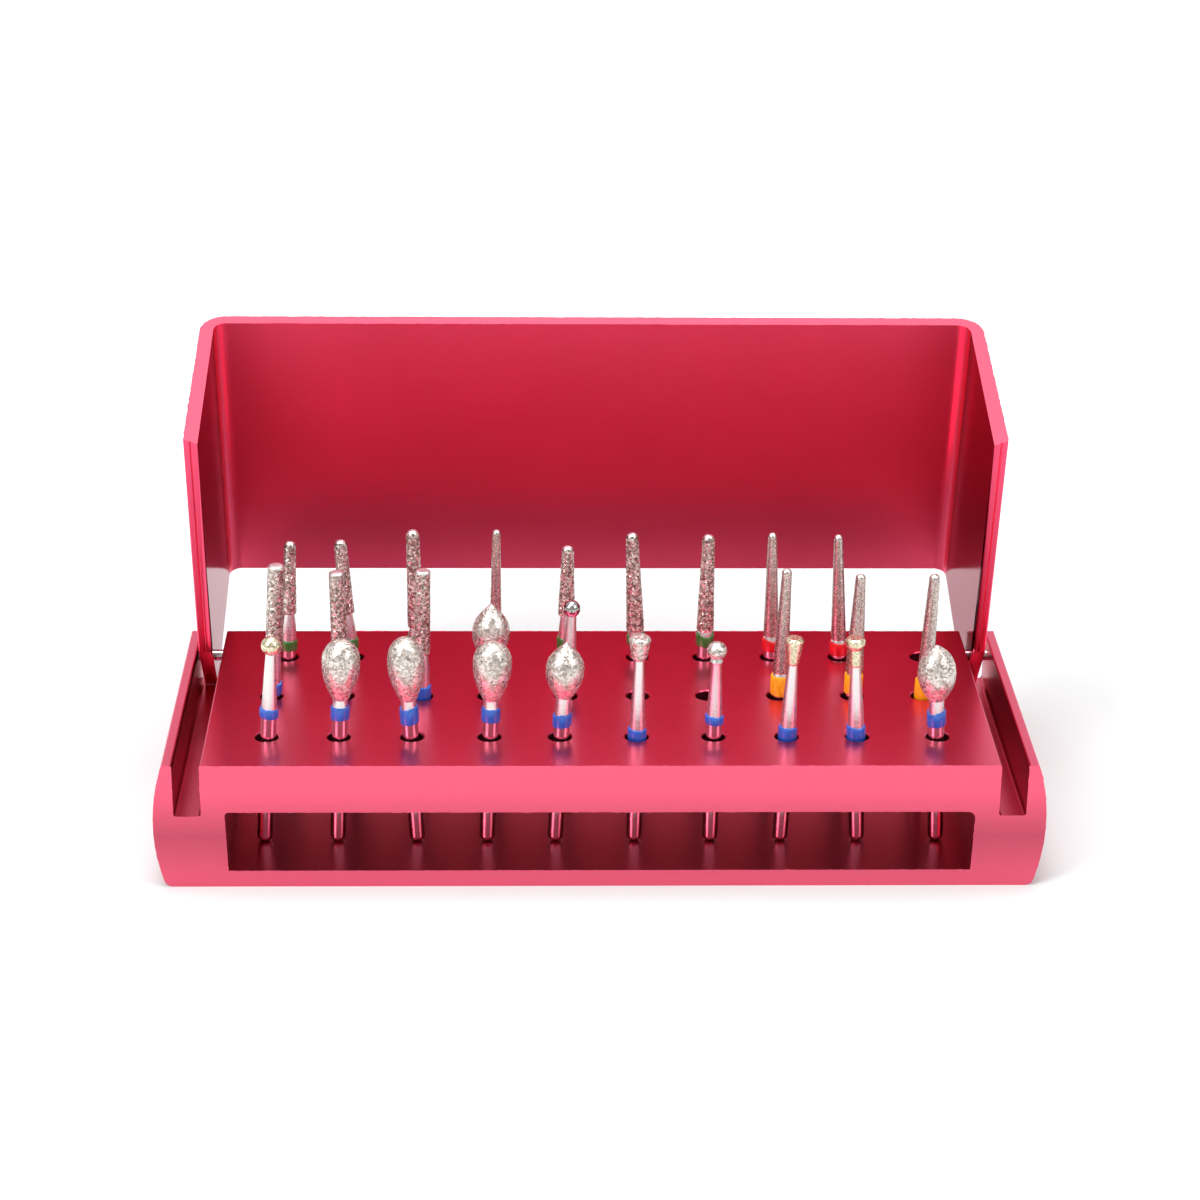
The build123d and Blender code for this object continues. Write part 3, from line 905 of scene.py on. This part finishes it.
def photo_camera():
    """Stands where the photograph was taken from."""
    data = bpy.data.cameras.new("photo camera")
    data.sensor_width = SENSOR_WIDTH
    data.lens = FOCAL_PIXELS / PHOTO_WIDTH * SENSOR_WIDTH
    data.clip_start, data.clip_end = 0.01, 20.0
    camera = bpy.data.objects.new("photo camera", data)
    camera.location = Vector(CAMERA_PLACE) * MM
    yaw = Euler((0, 0, -radians(CAMERA_YAW))).to_matrix()
    pitch = Euler((radians(90 - CAMERA_PITCH), 0, 0)).to_matrix()
    roll = Euler((0, 0, radians(CAMERA_ROLL))).to_matrix()
    camera.rotation_euler = (yaw @ pitch @ roll).to_euler()
    bpy.context.scene.collection.objects.link(camera)
    bpy.context.scene.camera = camera


def white_room(strength):
    """A white studio: a bright backdrop behind the object and a dimmer room above and in front."""
    world = bpy.data.worlds.new("white room")
    world.use_nodes = True
    nodes, links = world.node_tree.nodes, world.node_tree.links
    coordinates = nodes.new("ShaderNodeTexCoord")
    parts = nodes.new("ShaderNodeSeparateXYZ")
    links.new(coordinates.outputs["Generated"], parts.inputs["Vector"])
    backwards = map_range(nodes, links, parts.outputs["Y"], 0.0, 1.0, (0.1, 0.7))
    room = ramp(nodes, links, backwards, (0.0, (0.54, 0.54, 0.54)), (1.0, (1.0, 1.0, 1.0)))
    background = nodes["Background"]
    background.inputs["Strength"].default_value = strength
    links.new(room, background.inputs["Color"])
    bpy.context.scene.world = world


class SetStage(bpy.types.Operator):
    """Lay the floor, hang the lights and place the camera"""
    bl_idname = "bur_block.set_stage"
    bl_label = "Set stage"

    def execute(self, context):
        settings = context.scene.bur_stage
        bm = bmesh.new()
        bmesh.ops.create_grid(bm, x_segments=1, y_segments=1, size=FLOOR_HALF)
        mesh = bpy.data.meshes.new("floor")
        bm.to_mesh(mesh)
        bm.free()
        mesh.materials.append(floor_material("white floor with painted shadow", settings.floor))
        floor = bpy.data.objects.new("floor", mesh)
        context.scene.collection.objects.link(floor)
        for box in SOFTBOXES:
            add_softbox(box, settings.key)
        white_room(settings.sky)
        photo_camera()
        context.scene.view_settings.view_transform = "Standard"
        return {"FINISHED"}


class BurBlockPanel(bpy.types.Panel):
    bl_idname = "VIEW3D_PT_bur_block"
    bl_label = "Bur Block"
    bl_space_type = "VIEW_3D"
    bl_region_type = "UI"
    bl_category = "Bur Block"

    def draw(self, context):
        layout = self.layout
        for group in (context.scene.bur_block, context.scene.burs_finish, context.scene.bur_stage):
            for name in group.__annotations__:
                layout.prop(group, name)
        for operator in (DressBlock, DressLid, AddBurs, SetStage):
            layout.operator(operator.bl_idname)


CLASSES = (BlockSettings, BurSettings, StageSettings, DressBlock, DressLid, AddBurs, SetStage,
           BurBlockPanel)


def register():
    for cls in CLASSES:
        bpy.utils.register_class(cls)
    bpy.types.Scene.bur_block = bpy.props.PointerProperty(type=BlockSettings)
    bpy.types.Scene.burs_finish = bpy.props.PointerProperty(type=BurSettings)
    bpy.types.Scene.bur_stage = bpy.props.PointerProperty(type=StageSettings)


def unregister():
    del bpy.types.Scene.bur_stage
    del bpy.types.Scene.burs_finish
    del bpy.types.Scene.bur_block
    for cls in reversed(CLASSES):
        bpy.utils.unregister_class(cls)


def main():
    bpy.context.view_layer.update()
    register()
    bpy.ops.bur_block.set_stage()
    bpy.ops.bur_block.dress_block()
    bpy.ops.bur_block.dress_lid()
    bpy.ops.bur_block.add_burs()


if __name__ == "__main__":
    main()
